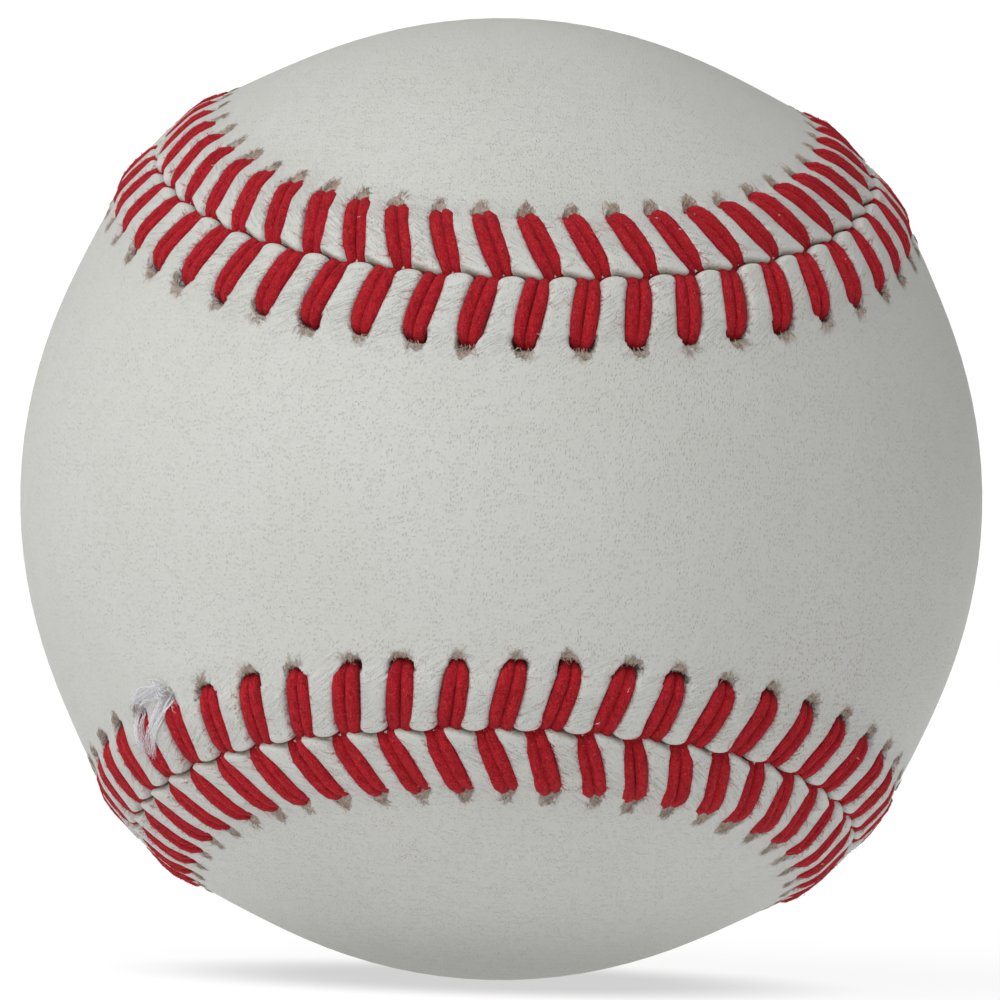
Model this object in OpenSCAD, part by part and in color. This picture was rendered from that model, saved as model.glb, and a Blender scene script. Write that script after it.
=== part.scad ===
// A hand-stitched leather baseball: a cork and rubber pill, four windings of yarn,
// two figure-eight cover panels and the two waxed threads that close the seam.
// The origin is the ball's centre. The front panel's narrow waist faces -Y with its
// long way along X, and the rear panel's waist faces +Y with its long way along Z.
// Lengths are millimetres and angles are degrees.

/* [Ball] */
// Radius of the smooth leather, away from the raised seam
ball_r = 37; // [34:0.1:42]
// Thickness of the cover leather
leather_t = 1.25; // [1:0.05:1.6]
// Thickness of the cement coat between the yarn and the cover
cement_t = 0.1; // [0.05:0.05:0.3]

/* [Seam] */
// Number of holes along the edge of each panel, a multiple of four
stitches = 108; // [92:4:120]
// Half the width of a panel's waist, as an angle at the ball's centre
waist_angle = 24.7; // [22:0.1:28]
// How much the lobes of the panels swell past the plain curve
swell_share = 0.042; // [0.02:0.001:0.05]
// How much the seam flattens where it crosses a waist
flatten_share = 0.02; // [0:0.001:0.03]

/* [Threads] */
// Diameter of one waxed thread
strand_d = 0.9; // [0.6:0.05:1]
// Room between the two threads of a stitch, and between a thread and its hole
strand_clear = 0.03; // [0.01:0.01:0.06]
// Height of a stitch's top above the smooth leather
stitch_h = 1.35; // [1.2:0.05:1.8]
// Distance from the seam's centre line to where a thread goes down its hole
hole_u = 4.95; // [4.6:0.05:5.4]
// How far below the smooth leather a thread's arc ends in its hole
hole_sink = 0.6; // [0.4:0.05:0.9]
// How far below the smooth leather a thread's arc ends in the seam
seam_sink = 0.4; // [0.2:0.05:0.7]
// Lean of the front panel's stitches along the seam, in stitch spacings
lean_front_share = 0.25; // [0:0.05:0.5]
// Lean of the rear panel's stitches along the seam, in stitch spacings
lean_rear_share = 0.55; // [0:0.05:0.7]

/* [Leather welt] */
// Distance from the seam's centre line to the crest of the puffed leather
crest_u = 2.1; // [1.8:0.05:2.6]
// Height of the puffed leather between two stitches
crest_h = 1.25; // [1:0.05:1.6]
// Distance from the seam's centre line to the nose of a tongue of leather
nose_u = 0.3; // [0.2:0.05:0.5]
// Height of that nose above the smooth leather
nose_h = 0.85; // [0.5:0.05:1]
// Height of the puffed leather beside the near end of a hole
shoulder_h = 1; // [0.9:0.05:1.2]
// Height to which the leather has risen when it reaches the threads' holes
rise_h = 0.75; // [0.4:0.05:0.8]
// Distance from the holes over which that rise falls to about a third
rise_w = 3.9; // [2:0.1:6]
// How far a hole reaches past the thread that fills its near end
hole_reach = 1.35; // [0.8:0.05:1.8]
// Distance from a hole's far end to where the leather no longer waves with the stitches
fade_w = 1.3; // [0.8:0.05:2]
// Room between the two panels where their edges meet
edge_gap = 0.1; // [0.04:0.01:0.2]

/* [Core] */
// Radius of the cork and rubber centre
cork_r = 10.3; // [9:0.1:12]
// Thickness of the two black rubber half shells
shell_t = 4; // [3:0.1:4.5]
// Thickness of the red gasket between the half shells
gasket_t = 1.2; // [0.8:0.1:2]
// Thickness of the red rubber jacket
jacket_t = 2.9; // [2:0.1:3.5]
// Thickness of the white three-ply winding
white_wool_t = 1.75; // [1.4:0.05:2.2]
// Thickness of the blue-grey three-ply winding
upper_wool_t = 2.25; // [1.8:0.05:2.8]
// Thickness of the fine white finishing yarn
finish_t = 0.4; // [0.3:0.05:0.8]

/* [Hidden] */

// Radii of the layers, from the cover inwards
cover_in_r = ball_r - leather_t;
finish_out_r = cover_in_r - cement_t;
upper_out_r = finish_out_r - finish_t;
white_out_r = upper_out_r - upper_wool_t;
base_out_r = white_out_r - white_wool_t;
shell_out_r = cork_r + shell_t;
pill_r = shell_out_r + jacket_t;

// Weights of the seam curve: the long wave, the wave three times as fast and the cross wave
long_share = (1 + sin(waist_angle)) / 2;
triple_share = (1 - sin(waist_angle)) / 2;
cross_share = 2 * sqrt(long_share * triple_share);

// The seam is measured once, in even steps of its own angle
seam_steps = 720;
seam_step = 360 / seam_steps;
tangent_step = seam_step / 10;

// Sides of the panels and of the two threads in each stitch
FRONT = 1;
REAR = -1;
LEFT = -1;
RIGHT = 1;

// Rows of facets between the welt and the middle line of a panel
outer_rows = 4;
inner_rows = 3;
// Azimuth at which a panel's middle line ends, in the centre of its lobe
lobe_centre_angle = 108;

// The widest stretch that an inner facet spans, so that none cuts into the core
inner_facet_angle = (180 - waist_angle - lobe_centre_angle) / inner_rows;
inner_r = cover_in_r / cos(inner_facet_angle / 2);

// Size and place of the pair of threads in one stitch
strand_r = strand_d / 2;
strand_pitch = strand_d + strand_clear;
bundle_half_w = strand_pitch / 2 + strand_r;
channel_half_w = bundle_half_w + strand_clear;
seam_u = strand_r + edge_gap / 2;
near_swing_share = 0.66;
edge_swing_share = 0.86;
hole_far_u = hole_u + hole_reach;
welt_end_u = hole_far_u + fade_w;
// Part of a tongue's width that each of its flanks takes
flank_share = 0.25;

$fn = 64;

function unit(v) = v / norm(v);
function turned(v, axis, angle) = v * cos(angle) + axis * sin(angle);

// Direction from the ball's centre to the seam, at the seam's own angle
function seam_dir(a) = unit([
    long_share * sin(a) + triple_share * sin(3 * a) + swell_share * sin(5 * a),
    -cross_share * cos(2 * a) - flatten_share * cos(6 * a),
    long_share * cos(a) - triple_share * cos(3 * a) + swell_share * cos(5 * a)]);

// Distance run along the seam of a unit ball, with the angle where it is reached
seam_run = [for (i = 0, run = 0; i <= seam_steps;
                 run = run + norm(seam_dir((i + 1) * seam_step) - seam_dir(i * seam_step)), i = i + 1)
            [run, i * seam_step]];
seam_length = seam_run[seam_steps][0];
pitch = ball_r * seam_length / stitches;

// Angle of the seam at a place counted in stitches
function seam_angle(place) =
    lookup((place / stitches - floor(place / stitches)) * seam_length, seam_run);

// Unit vectors at a place on the seam: along it, and across it into a panel
function along(a) = unit(seam_dir(a + tangent_step) - seam_dir(a - tangent_step));
function across(a, side) = side * cross(along(a), seam_dir(a));

// Point at a place along the seam, u across it into a panel and h above the smooth leather
function leather_dir(place, u, side) =
    let (a = seam_angle(place))
    turned(seam_dir(a), across(a, side), u / ball_r * 180 / PI);
function leather_point(place, u, h, side) = (ball_r + h) * leather_dir(place, u, side);

// Height of the leather beyond the holes, where it falls gently to the smooth ball
function leather_rise(u) = rise_h * exp((hole_u - u) / rise_w);

function lean_share(side) = side == FRONT ? lean_front_share : lean_rear_share;

// Both ends of a stitch's centre line, from its hole to the seam
function hole_end(k, side) = leather_point(k, hole_u, -hole_sink, side);
function seam_end(k, side) = leather_point(k + lean_share(side), seam_u, -seam_sink, side);

// Frame of a stitch: its chord, the way up square to it, and the way across the stitch
function chord_dir(k, side) = unit(seam_end(k, side) - hole_end(k, side));
function chord_up(k, side) =
    let (c = chord_dir(k, side), up = unit(seam_end(k, side) + hole_end(k, side)))
    unit(up - (up * c) * c);
function chord_mid(k, side) = (seam_end(k, side) + hole_end(k, side)) / 2;

// Radius and half the swing of the arc that reaches stitch_h
function chord_half(k, side) = norm(seam_end(k, side) - hole_end(k, side)) / 2;
function arc_rise(k, side) = ball_r + stitch_h - strand_r - norm(chord_mid(k, side));
function arc_r(k, side) =
    let (half = chord_half(k, side), rise = arc_rise(k, side))
    (half * half + rise * rise) / (2 * rise);
function arc_swing(k, side) =
    let (half = chord_half(k, side), rise = arc_rise(k, side))
    2 * atan(rise / half);
function arc_centre(k, side) =
    chord_mid(k, side) - (arc_r(k, side) - arc_rise(k, side)) * chord_up(k, side);

// Point of the leather pressed down by a stitch: a share of the swing, and sideways of it
function pressed_point(k, side, swing_share, sideways) =
    let (c = chord_dir(k, side), up = chord_up(k, side), swing = arc_swing(k, side) * swing_share)
    arc_centre(k, side) + (arc_r(k, side) - strand_r - strand_clear) * turned(up, c, swing)
    + side * sideways * cross(up, c);

// One thread over one stitch
module strand(k, side, which) {
    c = chord_dir(k, side);
    up = chord_up(k, side);
    z = cross(c, up);
    p = arc_centre(k, side) + which * side * strand_pitch / 2 * z;
    swing = arc_swing(k, side);
    multmatrix([[c.x, up.x, z.x, p.x], [c.y, up.y, z.y, p.y], [c.z, up.z, z.z, p.z], [0, 0, 0, 1]])
        rotate([0, 0, 90 - swing])
            rotate_extrude(angle = 2 * swing)
                translate([arc_r(k, side), 0])
                    circle(d = strand_d, $fn = 24);
}

module thread(which) {
    for (k = [0 : stitches - 1]) {
        strand(k, FRONT, which);
        strand(k, REAR, which);
    }
}

module thread_left() {
    color("crimson") thread(LEFT);
}

module thread_right() {
    color("firebrick") thread(RIGHT);
}

// Columns of a panel's border, four to a stitch: both sides of the thread's channel,
// then both sides of the tongue of leather that puffs up before the next stitch
tongue_w = pitch - 2 * channel_half_w;
column_offsets = [-channel_half_w, channel_half_w,
                  channel_half_w + flank_share * tongue_w,
                  channel_half_w + (1 - flank_share) * tongue_w];
columns = len(column_offsets);

// Rows of a panel's border, from the cut edge inwards
EDGE_FOOT = 0;
EDGE_TOP = 1;
CREST = 2;
HOLE_NEAR = 3;
HOLE_FAR = 4;
border_rows = 5;

// Distance of the leather from the seam's centre line and its height, row by row
tongue_u = [edge_gap / 2, nose_u, crest_u, hole_u - strand_r, hole_far_u];
tongue_h = [inner_r - ball_r, nose_h, crest_h, shoulder_h, leather_rise(hole_far_u)];
pressed_share = [0, edge_swing_share, 0, -near_swing_share, 0];

// A place on the border that leans with its stitch up to the hole
function leaning_place(k, offset, u, side) =
    k + offset / pitch + lean_share(side) * max(0, 1 - u / hole_u);

function tongue_point(row, k, offset, side) =
    leather_point(leaning_place(k, offset, tongue_u[row], side), tongue_u[row], tongue_h[row], side);

// Foot of the cut edge under a stitch: straight below the pressed leather
function pressed_foot(k, offset, side) = inner_r * unit(pressed_point(k, side, edge_swing_share, offset));

function border_point(row, k, column, side) =
    let (offset = column_offsets[column])
    column > 1 || row == HOLE_FAR ? tongue_point(row, k, offset, side)
    : row == EDGE_FOOT ? pressed_foot(k, offset, side)
    : pressed_point(k, side, pressed_share[row], offset);

// Middle line of a panel, in steps from one lobe's centre to the other's
quarter = stitches / 4;
function middle_dir(step, side) =
    let (a = lobe_centre_angle * sin(90 * step / quarter))
    side == FRONT ? [sin(a), -cos(a), 0] : [0, cos(a), -sin(a)];

// Step of the middle line that a stitch's column runs to: the seam passes each step twice
function middle_step(k, side) =
    let (from_waist = (k - (side == FRONT ? 0 : quarter) + 2 * stitches) % stitches)
    from_waist <= quarter ? from_waist
    : from_waist < 3 * quarter ? 2 * quarter - from_waist
    : from_waist - stitches;

// Angle from the end of the welt to the middle line, and a direction on the way there
function inland_angle(k, side) =
    acos(leather_dir(k, welt_end_u, side) * middle_dir(middle_step(k, side), side));
function inland_dir(k, share, side) =
    let (angle = inland_angle(k, side))
    (leather_dir(k, welt_end_u, side) * sin(angle * (1 - share))
     + middle_dir(middle_step(k, side), side) * sin(angle * share)) / sin(angle);

// Stitch whose column reaches a step of the middle line
function column_at(step, side) = (step + (side == FRONT ? 0 : quarter) + stitches) % stitches;

// How far from the seam a share of the way to the middle line is
function inland_u(k, share, side) = welt_end_u + inland_angle(k, side) * share * ball_r * PI / 180;

// Points of the inland rows and of the middle line; lift says how much of the rise they take
function inland_points(rows, r, lift, side) = [
    for (row = [0 : rows - 1], k = [0 : stitches - 1])
        (r + lift * leather_rise(inland_u(k, row / rows, side))) * inland_dir(k, row / rows, side),
    for (step = [-quarter : quarter])
        (r + lift * leather_rise(inland_u(column_at(step, side), 1, side))) * middle_dir(step, side)];

// Numbers of the panel's points, in the order in which panel_points lists them
around = stitches * columns;
outer_first = border_rows * around;
outer_count = outer_rows * stitches + 2 * quarter + 1;
socket_first = outer_first + outer_count;
inner_first = socket_first + 4 * stitches;

function border_id(row, i) = row * around + i % around;
function socket_id(row, i) = socket_first + row * 2 * stitches + i % (2 * stitches);
function inland_id(first, rows, row, k, side) =
    row < rows ? first + row * stitches + k % stitches
    : first + rows * stitches + quarter + middle_step(k % stitches, side);

function panel_points(side) = [
    for (row = [0 : border_rows - 1], k = [0 : stitches - 1], column = [0 : columns - 1])
        border_point(row, k, column, side),
    each inland_points(outer_rows, ball_r, 1, side),
    for (u = [hole_u - strand_r, hole_far_u], k = [0 : stitches - 1], edge = [0, 1])
        inner_r * leather_dir(k + column_offsets[edge] / pitch, u, side),
    each inland_points(inner_rows, inner_r, 0, side)];

function quad(a, b, c, d) = [[a, b, c], [a, c, d]];

function inland_faces(first, rows, side) = [
    for (row = [0 : rows - 1], k = [0 : stitches - 1])
        each quad(inland_id(first, rows, row, k, side), inland_id(first, rows, row, k + 1, side),
                  inland_id(first, rows, row + 1, k + 1, side), inland_id(first, rows, row + 1, k, side))];

// The outer skin of the border, left open at each hole
function border_faces(side) = [
    for (row = [EDGE_FOOT : HOLE_NEAR], i = [0 : around - 1])
        if (row != HOLE_NEAR || i % columns != 0)
            each quad(border_id(row, i), border_id(row, i + 1),
                      border_id(row + 1, i + 1), border_id(row + 1, i))];

// From four columns a stitch to one, past the holes
function fade_faces(side) = [
    for (k = [0 : stitches - 1])
        let (i = k * columns, here = inland_id(outer_first, outer_rows, 0, k, side),
             next = inland_id(outer_first, outer_rows, 0, k + 1, side))
        each [[border_id(HOLE_FAR, i), border_id(HOLE_FAR, i + 1), here],
              [border_id(HOLE_FAR, i + 1), border_id(HOLE_FAR, i + 2), here],
              [border_id(HOLE_FAR, i + 2), next, here],
              [border_id(HOLE_FAR, i + 2), border_id(HOLE_FAR, i + 3), next],
              [border_id(HOLE_FAR, i + 3), border_id(HOLE_FAR, i + 4), next]]];

// The flesh side under the border, listed as seen from inside the leather
function socket_faces(side) = [
    for (k = [0 : stitches - 1])
        let (i = k * columns, j = 2 * k, here = inland_id(inner_first, inner_rows, 0, k, side),
             next = inland_id(inner_first, inner_rows, 0, k + 1, side))
        each [each quad(border_id(EDGE_FOOT, i), border_id(EDGE_FOOT, i + 1),
                        socket_id(0, j + 1), socket_id(0, j)),
              [border_id(EDGE_FOOT, i + 1), border_id(EDGE_FOOT, i + 2), socket_id(0, j + 1)],
              each quad(border_id(EDGE_FOOT, i + 2), border_id(EDGE_FOOT, i + 3),
                        socket_id(0, j + 2), socket_id(0, j + 1)),
              [border_id(EDGE_FOOT, i + 3), border_id(EDGE_FOOT, i + 4), socket_id(0, j + 2)],
              each quad(socket_id(0, j + 1), socket_id(0, j + 2), socket_id(1, j + 2), socket_id(1, j + 1)),
              [socket_id(1, j), socket_id(1, j + 1), here],
              each quad(socket_id(1, j + 1), socket_id(1, j + 2), next, here)]];

// The four walls of each hole
function hole_faces(side) = [
    for (k = [0 : stitches - 1])
        let (i = k * columns, j = 2 * k,
             top = [border_id(HOLE_NEAR, i), border_id(HOLE_NEAR, i + 1),
                    border_id(HOLE_FAR, i + 1), border_id(HOLE_FAR, i)],
             foot = [socket_id(0, j), socket_id(0, j + 1), socket_id(1, j + 1), socket_id(1, j)])
        for (wall = [0 : 3])
            each quad(top[wall], top[(wall + 1) % 4], foot[(wall + 1) % 4], foot[wall])];

function reversed(faces) = [for (f = faces) [f[2], f[1], f[0]]];

function panel_faces(side) =
    let (outside = [each border_faces(side), each fade_faces(side), each hole_faces(side),
                    each inland_faces(outer_first, outer_rows, side)],
         inside = [each socket_faces(side), each inland_faces(inner_first, inner_rows, side)])
    side == FRONT ? [each outside, each reversed(inside)] : [each reversed(outside), each inside];

// A figure-eight panel of leather with its row of holes and its scalloped welt
module panel(side) {
    polyhedron(points = panel_points(side), faces = panel_faces(side), convexity = 4);
}

module cover_front() {
    color("ivory") panel(FRONT);
}

module cover_rear() {
    color("floralwhite") panel(REAR);
}

// A closed layer between two radii
module layer(outer_r, inner_r) {
    difference() {
        sphere(r = outer_r);
        sphere(r = inner_r);
    }
}

module cork_center() {
    color("peru") sphere(r = cork_r);
}

// Half of the black shell, above or below the gasket
module half_shell(side) {
    intersection() {
        layer(shell_out_r, cork_r);
        translate([0, 0, side * (shell_out_r + gasket_t) / 2])
            cube([2 * shell_out_r, 2 * shell_out_r, shell_out_r], center = true);
    }
}

module inner_shell_upper() {
    color("dimgray") half_shell(1);
}

module inner_shell_lower() {
    color("dimgray") half_shell(-1);
}

module gasket_ring() {
    color("tomato")
        intersection() {
            layer(shell_out_r, cork_r);
            cube([2 * shell_out_r, 2 * shell_out_r, gasket_t], center = true);
        }
}

module rubber_jacket() {
    color("indianred") layer(pill_r, shell_out_r);
}

module winding_base_wool() {
    color("lightslategray") layer(base_out_r, pill_r);
}

module winding_white_wool() {
    color("linen") layer(white_out_r, base_out_r);
}

module winding_upper_wool() {
    color("slategray") layer(upper_out_r, white_out_r);
}

module winding_finish_yarn() {
    color("whitesmoke") layer(finish_out_r, upper_out_r);
}

module cement_coat() {
    color("wheat") layer(cover_in_r, finish_out_r);
}

cork_center();
inner_shell_upper();
inner_shell_lower();
gasket_ring();
rubber_jacket();
winding_base_wool();
winding_white_wool();
winding_upper_wool();
winding_finish_yarn();
cement_coat();
cover_front();
cover_rear();
thread_left();
thread_right();
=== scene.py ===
"""A hand-stitched leather baseball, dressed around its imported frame.

The two cover panels, the stitches and the loose fibres are modelled here, and the windings and
the pill keep their solids and get finishes of their own. Lengths are metres.
"""

import logging
import math
from collections.abc import Callable, Mapping, Sequence
from dataclasses import dataclass, field
from enum import Enum
from functools import cached_property
from typing import Any, NamedTuple

import bpy
import numpy as np
from bpy.types import ID, Material, Mesh, NodeSocket, NodeTree, Object
from mathutils import Matrix, Vector
from mathutils.bvhtree import BVHTree


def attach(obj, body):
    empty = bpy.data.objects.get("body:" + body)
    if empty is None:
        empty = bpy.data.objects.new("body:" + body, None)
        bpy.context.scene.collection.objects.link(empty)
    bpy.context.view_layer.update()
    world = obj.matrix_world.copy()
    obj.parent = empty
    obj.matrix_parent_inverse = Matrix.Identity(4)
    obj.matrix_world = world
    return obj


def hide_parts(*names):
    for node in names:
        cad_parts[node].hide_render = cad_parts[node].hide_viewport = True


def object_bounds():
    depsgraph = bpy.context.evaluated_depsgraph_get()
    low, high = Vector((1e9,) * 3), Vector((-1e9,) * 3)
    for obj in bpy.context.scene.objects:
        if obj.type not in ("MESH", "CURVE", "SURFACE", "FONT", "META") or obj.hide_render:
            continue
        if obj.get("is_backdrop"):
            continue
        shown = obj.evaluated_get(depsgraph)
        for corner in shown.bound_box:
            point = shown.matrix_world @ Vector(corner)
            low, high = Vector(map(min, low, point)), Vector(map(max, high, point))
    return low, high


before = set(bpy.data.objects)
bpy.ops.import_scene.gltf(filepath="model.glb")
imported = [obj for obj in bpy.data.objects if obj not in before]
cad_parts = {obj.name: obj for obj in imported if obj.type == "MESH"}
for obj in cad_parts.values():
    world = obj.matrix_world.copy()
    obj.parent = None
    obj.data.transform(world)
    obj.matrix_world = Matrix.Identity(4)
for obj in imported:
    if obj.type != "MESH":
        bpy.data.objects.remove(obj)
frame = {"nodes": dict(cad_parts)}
CAD_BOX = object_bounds()

MM = 0.001
TURN = 2 * math.pi
Colour = tuple[float, float, float]
Span = tuple[float, float]
Array = np.ndarray
log = logging.getLogger("baseball")


class Side(Enum):
    """The two panels of the cover, with the sign that leads from the seam into each."""

    FRONT = 1
    REAR = -1


class Strand(Enum):
    """The two threads that lie side by side in every stitch."""

    LEFT = -1
    RIGHT = 1


class BySide(NamedTuple):
    """A size that differs between the two panels."""

    front: float
    rear: float

    def on(self, side: Side) -> float:
        """The size on one panel."""
        return self.front if side is Side.FRONT else self.rear


def sum_method(name: str, swapped: bool = False) -> Callable[..., "Value"]:
    """Makes a method of Value that adds a Math node.

    Args:
        name: The name that Blender gives the sum.
        swapped: True where the value comes last in it.

    Returns:
        The method, which takes the other numbers of the sum.
    """

    def method(value: "Value", *others: Any) -> "Value":
        """Adds the node."""
        return value.graph.maths(name, *((*others, value) if swapped else (value, *others)))

    return method


@dataclass
class Value:
    """A socket of a node that works in Python expressions."""

    graph: "Graph"
    socket: NodeSocket

    __add__, __radd__ = sum_method("ADD"), sum_method("ADD", True)
    __sub__, __rsub__ = sum_method("SUBTRACT"), sum_method("SUBTRACT", True)
    __mul__, __rmul__ = sum_method("MULTIPLY"), sum_method("MULTIPLY", True)
    __truediv__, __rtruediv__ = sum_method("DIVIDE"), sum_method("DIVIDE", True)
    __pow__, __mod__ = sum_method("POWER"), sum_method("MODULO")
    __abs__, __gt__ = sum_method("ABSOLUTE"), sum_method("GREATER_THAN")
    at_least, at_most = sum_method("MAXIMUM"), sum_method("MINIMUM")

    def held(self) -> "Value":
        """The value held between 0 and 1."""
        return self.at_least(0.0).at_most(1.0)

    def smooth(self, low: float, high: float) -> "Value":
        """A soft step from 0 at low to 1 at high."""
        ends = {"Value": self, "From Min": low, "From Max": high}
        return self.graph.node("ShaderNodeMapRange", ends, interpolation_type="SMOOTHSTEP")

    def pick(self, output: str) -> "Value":
        """Another output of the same node."""
        return Value(self.graph, find_socket(self.socket.node.outputs, output))


def find_socket(sockets: Any, key: str | int) -> NodeSocket:
    """A node's socket by its place, or by its name among those in use."""
    return sockets[key] if isinstance(key, int) else next(s for s in sockets if s.enabled and s.name == key)


class Graph:
    """A node tree that is written as Python expressions."""

    def __init__(self, tree: NodeTree) -> None:
        """Takes the tree to fill."""
        self.tree = tree

    def feed(self, socket: NodeSocket, value: Any) -> None:
        """Links a value to an input, or sets it there.

        Args:
            socket: The input.
            value: A Value, a number, or a colour or vector as a tuple.
        """
        if isinstance(value, Value):
            self.tree.links.new(value.socket, socket)
        elif socket.type == "RGBA":
            socket.default_value = (*value, 1.0)
        elif socket.type == "VECTOR" and isinstance(value, (int, float)):
            socket.default_value = (value,) * 3
        else:
            socket.default_value = value

    def node(self, kind: str, sockets: Mapping[str | int, Any] | None = None, **settings: Any) -> Value:
        """Adds a node.

        Args:
            kind: The node's type.
            sockets: What its inputs get, by name or place.
            **settings: Its settings, which are set first.

        Returns:
            The node's first output in use.
        """
        made = self.tree.nodes.new(kind)
        for name, value in settings.items():
            setattr(made, name, value)
        for key, value in (sockets or {}).items():
            self.feed(find_socket(made.inputs, key), value)
        outputs = [s for s in made.outputs if s.enabled]
        return Value(self, (outputs or made.inputs)[0])

    def maths(self, operation: str, *values: Any) -> Value:
        """Adds a Math node, or a Vector Math node where a vector takes part.

        Args:
            operation: The name that Blender gives the sum.
            *values: Its values, in order.

        Returns:
            The result.
        """
        vectors = any(isinstance(v, Value) and v.socket.type == "VECTOR" for v in values)
        kind = "ShaderNodeVectorMath" if vectors else "ShaderNodeMath"
        return self.node(kind, dict(enumerate(values)), operation=operation)

    def mix(self, share: Any, first: Any, second: Any) -> Value:
        """The first colour with a share of the second in it."""
        return self.node("ShaderNodeMix", {"Factor": share, "A": first, "B": second}, data_type="RGBA")

    def vector(self, x: Any, y: Any, z: Any) -> Value:
        """A vector made of three numbers."""
        return self.node("ShaderNodeCombineXYZ", {"X": x, "Y": y, "Z": z})

    def noise(self, place: Value, size: float, detail: float = 2.0, warp: float = 0.0) -> Value:
        """Soft noise around one half, with lumps of this size, finer layers and a twist."""
        looks = {"Vector": place, "Scale": 1.0 / size, "Detail": detail, "Distortion": warp}
        return self.node("ShaderNodeTexNoise", looks)


class ShapeGraph(Graph):
    """A Geometry Nodes tree with named sizes, which ends in Realize Instances and Set Material."""

    def __init__(self, name: str, sizes: Mapping[str, float]) -> None:
        """Makes the tree and its inputs.

        Args:
            name: The tree's name.
            sizes: The named sizes with their values.
        """
        super().__init__(bpy.data.node_groups.new(name, "GeometryNodeTree"))
        face = self.tree.interface
        face.new_socket("Geometry", in_out="INPUT", socket_type="NodeSocketGeometry")
        face.new_socket("Geometry", in_out="OUTPUT", socket_type="NodeSocketGeometry")
        face.new_socket("Finish", in_out="INPUT", socket_type="NodeSocketMaterial")
        for size in sizes:
            face.new_socket(size, in_out="INPUT", socket_type="NodeSocketFloat")
        self.sizes = dict(sizes)
        self.source = self.node("NodeGroupInput")

    def size(self, name: str) -> Value:
        """One of the tree's named sizes."""
        return self.source.pick(name)

    def attribute(self, name: str, kind: str = "FLOAT") -> Value:
        """A named attribute of the mesh or curve."""
        return self.node("GeometryNodeInputNamedAttribute", {"Name": name}, data_type=kind)

    def random(self, low: float, high: float, place: Value, salt: int) -> Value:
        """A number from low to high for each whole place, with salt as the seed of this draw."""
        draw = {"Min": low, "Max": high, "ID": place + 0.25, "Seed": salt}
        return self.node("FunctionNodeRandomValue", draw, data_type="FLOAT")

    def store(self, geometry: Value, name: str, value: Value) -> Value:
        """Stores a value on the points under a name."""
        stored = {"Geometry": geometry, "Name": name, "Value": value}
        return self.node("GeometryNodeStoreNamedAttribute", stored, data_type="FLOAT", domain="POINT")

    def capture(self, geometry: Value, name: str, value: Value) -> tuple[Value, Value]:
        """Keeps a value of a curve for the mesh that is made from it.

        Args:
            geometry: The curve.
            name: The value's name.
            value: The value.

        Returns:
            The curve, and the value as the later geometry has it.
        """
        kept = self.node("GeometryNodeCaptureAttribute", {"Geometry": geometry})
        inputs = kept.socket.node.inputs
        kept.socket.node.capture_items.new("FLOAT", name)
        self.feed(find_socket(inputs, name), value)
        return kept, kept.pick(name)

    def tube(self, curve: Value, radius: Value, ring: Value) -> Value:
        """Wraps a smooth tube round a curve.

        Args:
            curve: The curve.
            radius: The tube's radius.
            ring: Its section, one metre in radius.

        Returns:
            The tube.
        """
        curve = self.node("GeometryNodeSetCurveRadius", {"Curve": curve, "Radius": radius})
        parts = {"Curve": curve, "Profile Curve": ring, "Scale": radius, "Fill Caps": True}
        tube = self.node("GeometryNodeCurveToMesh", parts)
        return self.node("GeometryNodeSetShadeSmooth", {"Geometry": tube, "Shade Smooth": True})

    def finish(self, geometry: Value) -> None:
        """Ends the tree.

        Args:
            geometry: What the tree gives.
        """
        real = self.node("GeometryNodeRealizeInstances", {"Geometry": geometry})
        dressed = self.node("GeometryNodeSetMaterial", {"Geometry": real, "Material": self.size("Finish")})
        self.node("NodeGroupOutput", {"Geometry": dressed})

    def make(self, mesh: Mesh, finish: Material, slot: str, *nodes: str) -> Object:
        """Makes a piece of the ball from a mesh that the tree reshapes.

        Args:
            mesh: The mesh to start from, which has the piece's name.
            finish: The material that the piece gets.
            slot: The record's material slot that its finish stands for; it isn't used.
            *nodes: The CAD nodes that it stands for.

        Returns:
            The piece, a plain mesh that rides on the ball.
        """
        piece = new_object(mesh.name, mesh)
        modifier = piece.modifiers.new(self.tree.name, "NODES")
        modifier.node_group = self.tree
        values = {**self.sizes, "Finish": finish}
        for item in self.tree.interface.items_tree:
            if item.in_out == "INPUT" and item.name in values:
                modifier[item.identifier] = values[item.name]
        graph = bpy.context.evaluated_depsgraph_get()
        shaped = bpy.data.meshes.new_from_object(piece.evaluated_get(graph))
        piece.modifiers.remove(modifier)
        piece.data = shaped
        shaped.name = piece.name
        if nodes:
            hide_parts(*nodes)
        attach(piece, "root")
        log.info("%s: %d faces", piece.name, len(shaped.polygons))
        return piece


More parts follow.
